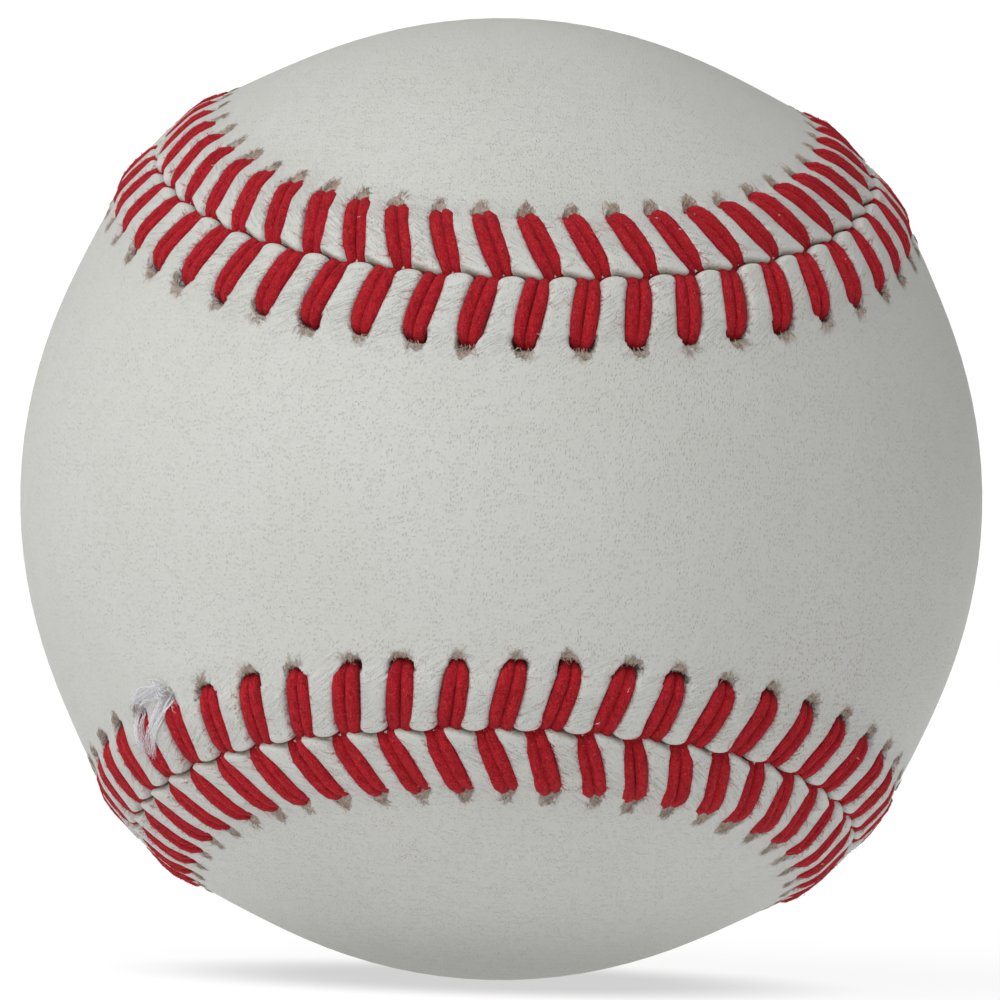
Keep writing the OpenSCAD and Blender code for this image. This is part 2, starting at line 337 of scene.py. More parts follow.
class SkinGraph(Graph):
    """The nodes of one material around its main shader, with places in millimetres."""

    def __init__(self, name: str, roughness: float, constants: Mapping[str, Any]) -> None:
        """Makes the material.

        Args:
            name: The material's name.
            roughness: The roughness where nothing varies it.
            constants: What the shader's other sockets hold all over the surface.
        """
        self.material = bpy.data.materials.new(name)
        self.material.use_nodes = True
        super().__init__(self.material.node_tree)
        self.inputs = self.tree.nodes["Principled BSDF"].inputs
        for socket, value in {"Roughness": roughness, **constants}.items():
            self.feed(self.inputs[socket], value)
        self.place = self.node("ShaderNodeTexCoord").pick("Object") * (1 / MM)

    def attribute(self, name: str) -> Value:
        """A number that the piece carries under this name."""
        return self.node("ShaderNodeAttribute", attribute_name=name).pick("Fac")

    def cells(self, place: Value, size: float, scatter: float = 1.0, feature: str = "F1") -> Value:
        """Scattered cells of this size: F1 is the distance to a cell's centre."""
        looks = {"Vector": place, "Scale": 1.0 / size, "Randomness": scatter}
        return self.node("ShaderNodeTexVoronoi", looks, feature=feature)

    def dress(self, colour: Any, roughness: Any = None, height: Value | None = None) -> None:
        """Feeds the shader.

        Args:
            colour: The surface's colour.
            roughness: Its roughness, where that varies.
            height: Its fine relief in millimetres.
        """
        self.feed(self.inputs["Base Color"], colour)
        if roughness is not None:
            self.feed(self.inputs["Roughness"], roughness)
        if height is not None:
            self.feed(self.inputs["Normal"], self.node("ShaderNodeBump", {"Distance": MM, "Height": height}))


@dataclass(frozen=True)
class CoverLeather:
    """Alum-tanned white leather with fine pores, wrinkles at the stitches and raw torn holes, with painted
    shade deep in the holes.
    """

    light: Colour = (0.506, 0.507, 0.483)
    shade: Colour = (0.470, 0.467, 0.439)
    pore: Colour = (0.343, 0.321, 0.274)
    stain: Colour = (0.343, 0.266, 0.163)
    raw_edge: Colour = (0.446, 0.399, 0.309)
    torn: Colour = (0.446, 0.377, 0.304)
    torn_dark: Colour = (0.283, 0.206, 0.154)
    # Near-black painted shade for the deep parts of the torn holes
    pit_shade: Colour = (0.060, 0.035, 0.025)
    # The middle and the width in millimetres of each patch whose pores hold dirt, and how much
    spots: Sequence[tuple[Colour, float, float]] = (
        ((-8.8, -26.9, -23.8), 1.9, 1.0),
        ((-6.9, -25.2, -26.2), 1.6, 0.8),
        ((16.2, -29.4, -15.6), 1.6, 0.9),
        ((-7.1, -31.7, -17.7), 1.6, 0.7),
        ((23.0, -21.6, -19.3), 1.8, 0.8),
        ((22.2, -26.1, -13.9), 10.0, 0.8),
    )
    # Widths in millimetres of what the leather is made up of
    cloud_size: float = 14.0
    stain_size: float = 6.5
    grain_size: float = 0.17
    pore_spacing: float = 0.23
    fray_size: float = 0.24
    # Heights and depths in millimetres of the fine relief
    grain_height: float = 0.028
    pore_depth: float = 0.045
    fray_height: float = 0.22
    fold_height: float = 0.10
    crease_depth: float = 0.03
    fold_slant_degrees: float = 33.0
    roughness: float = 0.52

    @cached_property
    def material(self) -> Material:
        """The leather's material."""
        g = SkinGraph("cover_leather", self.roughness, {"Specular IOR Level": 0.35})
        seam = g.node("ShaderNodeUVMap", uv_map="seam_map") * (1 / MM)
        parts = g.node("ShaderNodeSeparateXYZ", {"Vector": seam})
        run, reach = parts.pick("X"), parts.pick("Y")
        hole, hollow, edge = (g.attribute(n) for n in ("hole", "hollow", "edge_distance"))

        cloud = g.noise(g.place, self.cloud_size, 3.0)
        grain = g.noise(g.place, self.grain_size, 2.0)
        walls = g.cells(g.place * (1.0, 1.0, 0.6), self.pore_spacing, 0.9, "DISTANCE_TO_EDGE")
        deep = g.noise(g.place, 0.9, 2.0).smooth(0.3, 0.68)
        pore = walls.pick("Distance").smooth(0.16, 0.38) * (0.45 + 0.55 * deep)
        stain = g.noise(g.place, self.stain_size, 1.0).smooth(0.56, 0.66) * (1 - reach.smooth(4.0, 6.0))
        for spot, width, much in self.spots:
            near = 1 - g.maths("LENGTH", g.place - spot).smooth(width * 0.3, width)
            stain = stain.at_least(near * much)

        skin = g.mix(cloud.smooth(0.3, 0.8) * 0.6, self.light, self.shade)
        skin = g.mix(grain.smooth(0.42, 0.75) * 0.8, skin, self.shade)
        skin = g.mix(pore * (0.26 + 0.55 * stain), skin, g.mix(stain, self.pore, self.stain))
        cut = 1 - (edge * (1 / MM)).smooth(0.02, 0.14)
        skin = g.mix(cut * 0.6, skin, self.raw_edge)

        fray = g.noise(g.place, self.fray_size, 3.0)
        spikes = g.noise(g.vector(run * 5.0, reach * 1.2, 0.0), 1.0, 2.0)
        torn = (hole + (fray - 0.5) * 0.55 + (spikes - 0.5) * 0.75).smooth(-0.04, 0.16)
        raw = g.mix(fray.smooth(0.36, 0.66), self.torn_dark, self.torn)
        # Painted shade: the torn leather turns near-black as the hole gets deeper
        raw = g.mix(hollow.smooth(0.36, 0.72) * 0.88, raw, self.pit_shade)
        fade = g.noise(g.place, 1.3, 1.0).smooth(0.3, 0.6)
        skin = g.mix(torn * (0.6 + 0.35 * fade), skin, raw)

        height = grain * self.grain_height - pore * self.pore_depth
        height = height + self._wrinkles(g, run, reach) + torn * fray * self.fray_height
        g.dress(skin, self.roughness + 0.12 * cloud + 0.2 * torn, height)
        return g.material

    def _wrinkles(self, g: SkinGraph, run: Value, reach: Value) -> Value:
        """Fine slanting wrinkles of the leather that is drawn up between two stitches.

        Args:
            g: The material's graph.
            run: The distance along the seam in millimetres.
            reach: The distance from the seam in millimetres.

        Returns:
            Their height in millimetres.
        """
        slant = math.radians(self.fold_slant_degrees)
        lengthwise = reach * math.sin(slant) - run * math.cos(slant)
        crosswise = reach * math.cos(slant) + run * math.sin(slant)
        folds = g.noise(g.vector(lengthwise * 0.55, crosswise * 3.4, 0.0), 1.0, 2.0, 0.5)
        creases = 1 - abs(folds - 0.5).smooth(0.0, 0.07)
        patches = g.noise(g.vector(run, reach, 0.0), 2.3, 1.0)
        near = reach.smooth(0.1, 1.0) * (1 - reach.smooth(4.2, 8.5))
        height = folds * self.fold_height - creases * self.crease_depth
        return height * near * (0.3 + patches.smooth(0.3, 0.62))


@dataclass(frozen=True)
class WaxedThread:
    """Soft red thread whose fibres run along it with a slight twist, with painted shade in its grooves and
    painted highlight on its raised fibres and felt.
    """

    # The dark red also serves as painted shade in the grooves, and the pale red as the raised fibres'
    # lighter tone and a painted highlight on them and on the felt
    deep: Colour = (0.232, 0.003, 0.009)
    body: Colour = (0.404, 0.008, 0.015)
    pale_fibres_and_highlight: Colour = (0.560, 0.078, 0.090)
    sheen: Colour = (1.0, 0.35, 0.35)
    roughness: float = 0.78
    # Turns of the fibres in a millimetre of thread, and the width of its felt in millimetres
    twist: float = 0.07
    felt_size: float = 0.11
    # Heights in millimetres of the fibres, the plies and the felt
    heights: tuple[float, float, float] = (0.06, 0.12, 0.14)

    @cached_property
    def material(self) -> Material:
        """The thread's material."""
        constants = {"Sheen Weight": 0.06, "Sheen Roughness": 0.5, "Sheen Tint": self.sheen}
        g = SkinGraph("red_thread", self.roughness, {**constants, "Specular IOR Level": 0.1})
        around, along = g.attribute("around"), g.attribute("along")
        seed = g.attribute("draw") * 37.0
        twisted = around + along * self.twist
        fibres = g.noise(g.vector(twisted * 16.0, along * 2.6, seed), 1.0, 3.0, 1.2)
        plies = g.noise(g.vector(twisted * 4.0, along * 0.7, seed + 11.0), 1.0, 2.0, 0.6)
        felt = g.noise(g.place, self.felt_size, 4.0, 0.7)
        # The tone follows the relief over the fibres' own streaks: darker where fibres, plies and felt lie
        # low, as painted shade, and paler where they stand up, as painted highlight
        tone = g.mix(fibres.smooth(0.32, 0.56), self.deep, self.body)
        tone = g.mix(fibres.smooth(0.6, 0.85) * 0.5, tone, self.pale_fibres_and_highlight)
        tone = g.mix(plies.smooth(0.46, 0.25) * 0.6, tone, self.deep)
        tone = g.mix(felt.smooth(0.46, 0.3) * 0.22, tone, self.deep)
        tone = g.mix(felt.smooth(0.53, 0.7) * 0.5, tone, self.pale_fibres_and_highlight)
        height = fibres * self.heights[0] + plies * self.heights[1] + felt * self.heights[2]
        g.dress(tone, self.roughness - 0.1 * fibres, height)
        return g.material


@dataclass(frozen=True)
class LooseFibre:
    """Fine loose fibres of one tone, which vary a little from one to the next."""

    name: str
    light: Colour
    dark: Colour

    @cached_property
    def material(self) -> Material:
        """The fibres' material."""
        g = SkinGraph(self.name, 0.8, {"Specular IOR Level": 0.1})
        along = g.noise(g.place, 0.3, 1.0)
        tone = g.mix(g.attribute("draw"), self.dark, self.light)
        g.dress(g.mix(along.smooth(0.4, 0.7) * 0.3, tone, self.dark), 0.7 + 0.2 * along)
        return g.material


@dataclass(frozen=True)
class GroundCork:
    """Cork granules pressed together with rubber, and the width of one in millimetres."""

    light: Colour = (0.56, 0.37, 0.20)
    dark: Colour = (0.20, 0.10, 0.05)
    granule: float = 1.6

    @cached_property
    def material(self) -> Material:
        """The cork's material."""
        g = SkinGraph("ground_cork", 0.85, {})
        cells = g.cells(g.place, self.granule)
        drawn = g.node("ShaderNodeSeparateColor", {"Color": cells.pick("Color")})
        tone = g.mix(drawn.pick("Red"), self.dark, self.light)
        seams = cells.smooth(0.35, 0.6)
        pits = g.noise(g.place, 0.5, 3.0)
        g.dress(g.mix(seams * 0.6, tone, self.dark), 0.8 + 0.15 * pits, pits * 0.2 - seams * 0.2)
        return g.material


@dataclass(frozen=True)
class MouldedRubber:
    """Dull moulded rubber with a little dust of talc on it."""

    name: str
    body: Colour
    dusty: Colour

    @cached_property
    def material(self) -> Material:
        """The rubber's material."""
        g = SkinGraph(self.name, 0.6, {"Specular IOR Level": 0.4})
        dust = g.noise(g.place, 3.5, 4.0)
        grain = g.noise(g.place, 0.25, 2.0)
        tone = g.mix(dust.smooth(0.5, 0.75) * 0.5, self.body, self.dusty)
        g.dress(tone, 0.5 + 0.25 * dust, grain * 0.03)
        return g.material


@dataclass(frozen=True)
class WoundYarn:
    """Yarn wound in layers that cross each other in great circles, with painted shade in the grooves between
    the yarns.
    """

    name: str
    light: Colour
    dark: Colour
    yarn_width: float
    # The direction across the yarns of each of the three layers that show
    turns: Sequence[Colour] = ((0.8, 0.5, 0.33), (-0.4, 0.85, 0.35), (0.3, -0.45, 0.84))

    @cached_property
    def material(self) -> Material:
        """The winding's material."""
        g = SkinGraph(self.name, 0.9, {"Sheen Weight": 0.2, "Specular IOR Level": 0.2})
        patches = g.noise(g.place, 16.0, 1.0)
        across = [g.maths("DOT_PRODUCT", g.place, turn) for turn in self.turns]
        waves = [g.maths("SINE", way * (math.pi / self.yarn_width)) for way in across]
        ridges = [1 - wave * wave for wave in waves]
        first, second = patches > 0.46, patches > 0.55
        ridge = ridges[0] * (1 - first) + ridges[1] * (first - second) + ridges[2] * second
        hairs = g.noise(g.place, 0.2, 2.0)
        # Painted shade: dark in the grooves between the yarns and light on their crests
        tone = g.mix(ridge, self.dark, self.light)
        tone = g.mix(hairs.smooth(0.4, 0.8) * 0.3, tone, self.dark)
        g.dress(tone, 0.85 + 0.1 * hairs, ridge * 0.35 + hairs * 0.08)
        return g.material


@dataclass(frozen=True)
class RubberCement:
    """Dried rubber cement, brushed on thin."""

    thin: Colour = (0.82, 0.77, 0.62)
    thick: Colour = (0.62, 0.50, 0.30)

    @cached_property
    def material(self) -> Material:
        """The cement's material."""
        g = SkinGraph("rubber_cement", 0.4, {"Specular IOR Level": 0.5})
        brushed = g.noise(g.place * (0.3, 1.0, 1.0), 2.2, 3.0, 0.6)
        tone = g.mix(brushed.smooth(0.35, 0.7), self.thin, self.thick)
        g.dress(tone, 0.3 + 0.35 * brushed, brushed * 0.12)
        return g.material


@dataclass(frozen=True)
class StudioPaper:
    """Plain dark paper with a faint tooth that glows white as painted light, a little more far off, so that
    it is dimmer round the ball as a painted shadow.
    """

    tone: Colour = (0.12, 0.12, 0.12)
    tooth: Colour = (0.08, 0.08, 0.08)
    near_glow: float = 0.60
    far_glow: float = 0.90
    # Where the glow starts to grow and where it is full, in millimetres from under the ball; the weaker glow
    # nearer in is a painted shadow round the ball
    glow_span: Span = (12.0, 31.0)

    @cached_property
    def material(self) -> Material:
        """The paper's material."""
        g = SkinGraph("studio_paper", 0.9, {"Specular IOR Level": 0.0, "Emission Strength": 1.0})
        # Painted light: the paper glows, and less near the ball, which is a painted shadow
        away = g.maths("LENGTH", g.place * (1.0, 1.0, 0.0)).smooth(*self.glow_span)
        glow = self.near_glow + away * (self.far_glow - self.near_glow)
        g.feed(g.inputs["Emission Color"], g.vector(glow, glow, glow))
        g.dress(g.mix(g.noise(g.place, 1.5, 2.0) * 0.04, self.tone, self.tooth))
        return g.material


@dataclass(frozen=True)
class Seam:
    """The closed curve on which the two panels meet, as the CAD source draws it."""

    ball_radius: float = 37.0 * MM
    stitches: int = 108
    waist_angle: float = 24.7
    swell_share: float = 0.042
    flatten_share: float = 0.020
    hole_distances: BySide = BySide(4.95 * MM, 5.23 * MM)
    # How far the stitches lean on their way to the seam, counted in stitches
    leans: BySide = BySide(0.25, 0.55)
    rise_height: float = 0.75 * MM
    rise_width: float = 3.9 * MM
    steps: int = 7200

    def direction(self, angle: Array) -> Array:
        """Finds the seam as seen from the ball's centre.

        Args:
            angle: The seam's own angles in radians.

        Returns:
            One unit vector a row.
        """
        waist = math.sin(math.radians(self.waist_angle))
        long, triple = (1 + waist) / 2, (1 - waist) / 2
        cross = 2 * math.sqrt(long * triple)
        x = long * np.sin(angle) + triple * np.sin(3 * angle) + self.swell_share * np.sin(5 * angle)
        y = -cross * np.cos(2 * angle) - self.flatten_share * np.cos(6 * angle)
        z = long * np.cos(angle) - triple * np.cos(3 * angle) + self.swell_share * np.cos(5 * angle)
        return unit(np.stack([x, y, z], axis=-1))

    @cached_property
    def table(self) -> tuple[Array, Array]:
        """The run along the seam of a unit ball, with the angle where it is reached."""
        angles = np.linspace(0, TURN, self.steps + 1)
        chords = np.linalg.norm(np.diff(self.direction(angles), axis=0), axis=1)
        return np.concatenate([[0.0], np.cumsum(chords)]), angles

    @property
    def pitch(self) -> float:
        """The distance from one stitch to the next."""
        return self.ball_radius * self.table[0][-1] / self.stitches

    def sewn(self, place: Array, reach: Array, side: Side) -> Array:
        """Places on the seam, moved with the stitches' lean; reach is the distance from the seam."""
        return place + self.leans.on(side) * np.maximum(0, 1 - reach / self.hole_distances.front)

    def rise(self, reach: Array) -> Array:
        """How far the leather beyond the holes stands above the smooth ball."""
        return self.rise_height * np.exp((self.hole_distances.front - reach) / self.rise_width)

    def leather(self, place: Array, reach: Array, side: Side) -> Array:
        """Finds points of the leather as seen from the ball's centre.

        Args:
            place: How far along the seam they are, counted in stitches.
            reach: How far across it they are, in metres.
            side: The panel that they lie on.

        Returns:
            One unit vector a row.
        """
        run, angles = self.table
        angle = np.interp(np.mod(place / self.stitches, 1.0) * run[-1], run, angles)
        here = self.direction(angle)
        step = TURN / self.steps
        along = unit(self.direction(angle + step) - self.direction(angle - step))
        across = side.value * np.cross(along, here)
        turn = (reach / self.ball_radius)[..., None]
        return here * np.cos(turn) + across * np.sin(turn)


def named_sizes(owner: Any, *names: str) -> dict[str, float]:
    """Sizes of a class under the names that a tree's inputs have, such as Crest Height."""
    return {name.replace("_", " ").title(): float(getattr(owner, name)) for name in names}


def unit(vectors: Array) -> Array:
    """The vectors with a length of one each."""
    return vectors / np.linalg.norm(vectors, axis=-1, keepdims=True)


def new_object(name: str, data: ID) -> Object:
    """Puts a mesh, a lamp or a camera into the scene.

    Args:
        name: The object's name.
        data: What it shows.

    Returns:
        The object, at the origin.
    """
    made = bpy.data.objects.new(name, data)
    bpy.context.scene.collection.objects.link(made)
    return made


def new_mesh(name: str, points: Any, edges: Any, faces: Any, **layers: Array) -> Mesh:
    """Makes a mesh.

    Args:
        name: The mesh's name.
        points: A place for each point.
        edges: The numbers of both points of each loose edge.
        faces: The numbers of each face's points.
        **layers: A number or a vector for each point, under the attribute's name.

    Returns:
        The mesh.
    """
    mesh = bpy.data.meshes.new(name)
    mesh.from_pydata(points, edges, faces)
    for key, values in layers.items():
        kind, value = ("FLOAT", "value") if values.ndim == 1 else ("FLOAT_VECTOR", "vector")
        layer = mesh.attributes.new(key, kind, "POINT")
        layer.data.foreach_set(value, np.ascontiguousarray(values, dtype=np.float32).ravel())
    return mesh


@dataclass
class RingMesh:
    """A closed skin that grows ring by ring, from one middle line to the other."""

    # A row for each point: its place in space, and what the relief needs to know of it
    rows: list[Array] = field(default_factory=list)
    quads: list[Array] = field(default_factory=list)
    triangles: list[Array] = field(default_factory=list)
    count: int = 0
    last: Array | None = None

    def add_points(self, points: Array, *facts: Any) -> Array:
        """Adds points with what the relief needs to know of them.

        Args:
            points: The points.
            *facts: How far along the seam, from the seam and from the cut edge they are, and 1 on
                the grain side of the leather or 0 on the flesh side.

        Returns:
            The numbers of the points.
        """
        ids = np.arange(self.count, self.count + len(points))
        self.count += len(points)
        self.rows.append(np.column_stack([points, *(np.broadcast_to(f, len(points)) for f in facts)]))
        return ids

    def join(self, ring: Array) -> None:
        """Fills the strip from the last ring to this one.

        Args:
            ring: The numbers of the ring's points, whose count divides or is divided by the last's.
        """
        last, self.last = self.last, ring
        if last is None:
            return
        if len(last) == len(ring):
            self.quads.append(np.stack([last, np.roll(last, -1), np.roll(ring, -1), ring], axis=1))
            return
        dense, sparse, flip = (last, ring, False) if len(last) > len(ring) else (ring, last, True)
        group = len(dense) // len(sparse)
        half = (group + 1) // 2
        starts = np.arange(len(sparse)) * group
        after = np.roll(sparse, -1)
        fans = []
        for i in range(group):
            ahead = dense[(starts + i + 1) % len(dense)]
            fans.append(np.stack([dense[starts + i], ahead, sparse if i < half else after], axis=1))
        fans.append(np.stack([dense[(starts + half) % len(dense)], after, sparse], axis=1))
        made = np.concatenate(fans)
        self.triangles.append(made[:, ::-1] if flip else made)

    def build(self, name: str, wrap: float, pitch: float) -> Mesh:
        """Makes the mesh with its attributes and its seam map.

        Args:
            name: The mesh's name.
            wrap: The place at which the seam comes back to its start.
            pitch: The distance from one stitch to the next.

        Returns:
            The mesh, whose faces point outwards.
        """
        rows = np.concatenate(self.rows)
        points, (place, reach, edge, grain) = rows[:, :3], rows[:, 3:].T
        quads, triangles = np.concatenate(self.quads), np.concatenate(self.triangles)
        split = np.concatenate([quads[:, [0, 1, 2]], quads[:, [0, 2, 3]], triangles])
        a, b, c = (points[split[:, i]] for i in range(3))
        if np.einsum("ij,ij->i", a, np.cross(b, c)).sum() < 0:
            quads, triangles = quads[:, ::-1], triangles[:, ::-1]
        faces = quads.tolist() + triangles.tolist()
        layers = dict(stitch_place=place, seam_distance=reach, edge_distance=edge, grain_side=grain)
        mesh = new_mesh(name, points.tolist(), [], faces, **layers)
        mesh.polygons.foreach_set("use_smooth", np.ones(len(mesh.polygons), dtype=bool))
        corners = []
        for group in (quads, triangles):
            run = place[group]
            crosses = (run.max(axis=1) - run.min(axis=1) > wrap / 2)[:, None]
            run = np.where(crosses & (run < wrap / 2), run + wrap, run) * pitch
            corners.append(np.stack([run, reach[group]], axis=-1).reshape(-1, 2))
        layer = mesh.uv_layers.new(name="seam_map")
        layer.data.foreach_set("uv", np.concatenate(corners).astype(np.float32).ravel())
        return mesh


@dataclass
class CoverPanel:
    """A figure-eight leather panel with its scalloped welt and its row of torn holes."""

    seam: Seam
    side: Side
    leather_thickness: float = 1.25 * MM
    flesh_clearance: float = 0.03 * MM
    edge_gap: float = 0.08 * MM
    edge_wave: float = 0.24 * MM
    # How the leather ends at the cut edge: the front's noses press on the rear's
    nose_lengths: BySide = BySide(0.6 * MM, 0.32 * MM)
    seam_depths: BySide = BySide(0.4 * MM, -0.5 * MM)
    # The puffed leather between two stitches
    crest_height: float = 1.24 * MM
    lump_height: float = 0.09 * MM
    tongue_half_width: float = 1.0 * MM
    flare_at_hole: float = 0.16 * MM
    flare_at_seam: float = 0.14 * MM
    stitch_height: float = 1.35 * MM
    stitch_sink: float = 0.55 * MM
    thread_radius: float = 0.4 * MM
    # The torn holes, which start a little before the thread
    hole_depths: BySide = BySide(1.5 * MM, 0.5 * MM)
    hole_start: float = 0.42 * MM
    hole_half_width: float = 0.84 * MM
    hole_length: float = 1.85 * MM
    hole_rim: float = 0.2 * MM
    hole_ragged: float = 0.35 * MM
    prong_width: float = 0.3 * MM
    # Distances from the seam over which the relief changes
    crest_span: Span = (2.6 * MM, 5.6 * MM)
    hole_flare_span: Span = (3.0 * MM, 4.9 * MM)
    seam_flare_span: Span = (0.4 * MM, 1.6 * MM)
    channel_span: Span = (4.3 * MM, 5.1 * MM)
    # The smooth leather between the welt and the middle line, which ends in the lobes' centres
    inland_start: float = 8.4 * MM
    flesh_start: float = 2.0 * MM
    lobe_degrees: float = 108.0
    inland_columns: int = 4
    inland_rows: int = 12
    flesh_columns: int = 2
    flesh_rows: int = 8
    # Columns of one stitch from the thread's middle to the tongue's, beside the seam and at a hole
    seam_phases: tuple[float, ...] = (0, 0.09, 0.155, 0.195, 0.225, 0.25, 0.28, 0.32, 0.37, 0.43, 0.5)
    hole_phases: tuple[float, ...] = (0, 0.03, 0.06, 0.09, 0.12, 0.15, 0.18, 0.22, 0.28, 0.38, 0.5)
    # Distance from the seam at which the columns start to close up, and how soon they have
    phase_start: float = 4.0 * MM
    phase_width: float = 0.8 * MM
    # Rows from the cut edge to the end of the nose, as shares, and from there on in millimetres
    nose_shares: tuple[float, ...] = (0, 0.03, 0.075, 0.135, 0.21, 0.30, 0.41, 0.54, 0.69, 0.84, 1)
    nose_reach: float = 1.35 * MM
    far_rows: tuple[float, ...] = (
        1.65, 2.0, 2.4, 2.8, 3.2, 3.6, 4.0, 4.3, 4.5, 4.65, 4.8, 4.95, 5.1, 5.25, 5.4,
        5.55, 5.7, 5.85, 6.0, 6.15, 6.35, 6.65, 7.1, 7.6,
    )  # fmt: skip

    @property
    def name(self) -> str:
        """The CAD node that this panel stands for."""
        return f"cover_{self.side.name.lower()}"

    @property
    def flesh_radius(self) -> float:
        """How far from the ball's centre the leather's inner side lies."""
        return self.seam.ball_radius + self.flesh_clearance - self.leather_thickness

    def cut_edge(self, place: Array) -> Array:
        """How far from the seam's middle the leather is cut, in waves that the noses follow."""
        divide = -self.edge_wave * np.cos(TURN * (place - self.seam.leans.front - 0.5))
        return self.side.value * divide + self.edge_gap / 2

    def columns(self, reach: float) -> Array:
        """Places the border's columns, which close up towards the holes.

        Args:
            reach: The distance from the seam.

        Returns:
            How far along the seam each column is, counted in stitches.
        """
        share = np.clip((reach - self.phase_start) / self.phase_width, 0, 1)
        half = np.array(self.seam_phases) * (1 - share) + np.array(self.hole_phases) * share
        phases = np.concatenate([half[:-1], 1 - half[:0:-1]])
        return (np.arange(self.seam.stitches)[:, None] + phases).ravel()

    def middle(self, place: Array) -> tuple[Array, Array]:
        """Finds where the columns end on the panel's middle line.

        Args:
            place: The columns' places.

        Returns:
            The step of the middle line for each, and its direction from the ball's centre.
        """
        stitches, quarter = self.seam.stitches, self.seam.stitches / 4
        run = np.mod(place - (0.0 if self.side is Side.FRONT else quarter), stitches)
        step = np.where(run <= quarter, run, np.where(run < 3 * quarter, 2 * quarter - run, run - stitches))
        turn = np.radians(self.lobe_degrees * np.sin(np.radians(90 * step / quarter)))
        sine, cosine, zero = np.sin(turn), np.cos(turn), np.zeros_like(turn)
        way = (sine, -cosine, zero) if self.side is Side.FRONT else (zero, cosine, -sine)
        return step, np.stack(way, axis=-1)

    def _inland(self, mesh: RingMesh, start: float, columns: int, rows: int, outwards: bool) -> None:
        """Adds the smooth leather between the welt and the middle line.

        Args:
            mesh: The skin, which grows by these rings.
            start: How far from the seam the outermost ring lies.
            columns: How many columns a stitch has.
            rows: How many strips there are.
            outwards: False for the flesh side, whose rings run from the middle line to the seam.
        """
        radius = self.seam.ball_radius if outwards else self.flesh_radius
        place = np.arange(self.seam.stitches * columns) / columns
        border = self.seam.leather(place, np.full(place.shape, start), self.side)
        step, middle = self.middle(place)
        angle = np.arccos(np.clip(np.einsum("ij,ij->i", border, middle), -1, 1))[:, None]
        rings = []
        for share in np.arange(rows) / rows:
            ring = (border * np.sin(angle * (1 - share)) + middle * np.sin(angle * share)) / np.sin(angle)
            reach = start + angle[:, 0] * share * radius
            rings.append(mesh.add_points(ring * radius, place, reach, reach, outwards))
        keys = np.round(step * columns).astype(int)
        _, first, index = np.unique(keys, return_index=True, return_inverse=True)
        reach = start + angle[first, 0] * radius
        rings.append(mesh.add_points(middle[first] * radius, place[first], reach, reach, outwards)[index])
        for ring in rings if outwards else rings[::-1]:
            mesh.join(ring)

    def skin(self) -> Mesh:
        """Makes the panel's closed skin, still without its relief.

        Returns:
            The mesh.
        """
        mesh, seam = RingMesh(), self.seam
        self._inland(mesh, self.flesh_start, self.flesh_columns, self.flesh_rows, outwards=False)
        place = self.columns(0.0)
        start = seam.sewn(place, np.zeros_like(place), self.side)
        edge = self.cut_edge(start)
        foot = seam.leather(start, edge, self.side) * self.flesh_radius
        mesh.join(mesh.add_points(foot, place, edge, 0.0, 0.0))
        rows = [edge + (self.nose_reach - edge) * share for share in self.nose_shares]
        rows += [np.full(place.shape, row * MM) for row in self.far_rows]
        for reach in rows:
            place = self.columns(float(reach.max()))
            points = seam.leather(seam.sewn(place, reach, self.side), reach, self.side) * seam.ball_radius
            mesh.join(mesh.add_points(points, place, reach, reach - edge, 1.0))
        self._inland(mesh, self.inland_start, self.inland_columns, self.inland_rows, outwards=True)
        return mesh.build(self.name + "_skin", float(seam.stitches), seam.pitch)

    def relief(self) -> ShapeGraph:
        """The rule that puffs the leather up between the stitches and tears its holes.

        Returns:
            The tree, which moves the points of the grain side along the ball's radius.
        """
        welt = ("crest_height", "lump_height", "tongue_half_width", "flare_at_hole", "flare_at_seam")
        stitch = ("stitch_height", "stitch_sink", "thread_radius")
        hole = ("hole_start", "hole_half_width", "hole_length", "hole_rim", "hole_ragged", "prong_width")
        sizes = {
            **named_sizes(self.seam, "ball_radius", "pitch", "rise_height", "rise_width"),
            **named_sizes(self, *welt, *stitch, *hole),
            "Nose Length": self.nose_lengths.on(self.side),
            "Seam Depth": self.seam_depths.on(self.side),
            "Hole Distance": self.seam.hole_distances.on(self.side),
            "Hole Depth": self.hole_depths.on(self.side),
        }
        g = ShapeGraph(self.name + "_relief", sizes)
        place, reach, edge = (g.attribute(n) for n in ("stitch_place", "seam_distance", "edge_distance"))
        point = g.node("GeometryNodeInputPosition")
        tongue = g.maths("FLOOR", place)
        from_tongue = (place - tongue - 0.5) * g.size("Pitch")
        salt = 100 * (2 + self.side.value)

        lumps = (g.noise(point, 2.2 * MM, 2.0) - 0.5) * g.size("Lump Height")
        crest = g.size("Crest Height") * g.random(0.94, 1.05, tongue, salt)
        inland = reach.smooth(*self.crest_span)
        fall = g.maths("EXPONENT", (g.size("Hole Distance") - reach) / g.size("Rise Width"))
        top = crest * (1 - inland) + g.size("Rise Height") * fall * inland + lumps * (1.3 - inland)

        wall = abs(from_tongue + g.random(-0.05 * MM, 0.05 * MM, tongue, salt + 1))
        width = g.size("Tongue Half Width") + reach.smooth(*self.hole_flare_span) * g.size("Flare At Hole")
        width = width + (1 - reach.smooth(*self.seam_flare_span)) * g.size("Flare At Seam")
        wall = wall / (width * g.random(0.98, 1.04, tongue, salt + 2))
        nose_length = g.size("Nose Length") * g.random(0.85, 1.2, tongue, salt + 3)
        nose = (1 - edge / nose_length).held()
        pillow = (1 - wall**5.5 - nose**2.5).at_least(0.0) ** 0.5
        open_channel = 1 - reach.smooth(*self.channel_span)
        pressed = (top - self._floor(g, reach)) * (1 - pillow) * open_channel

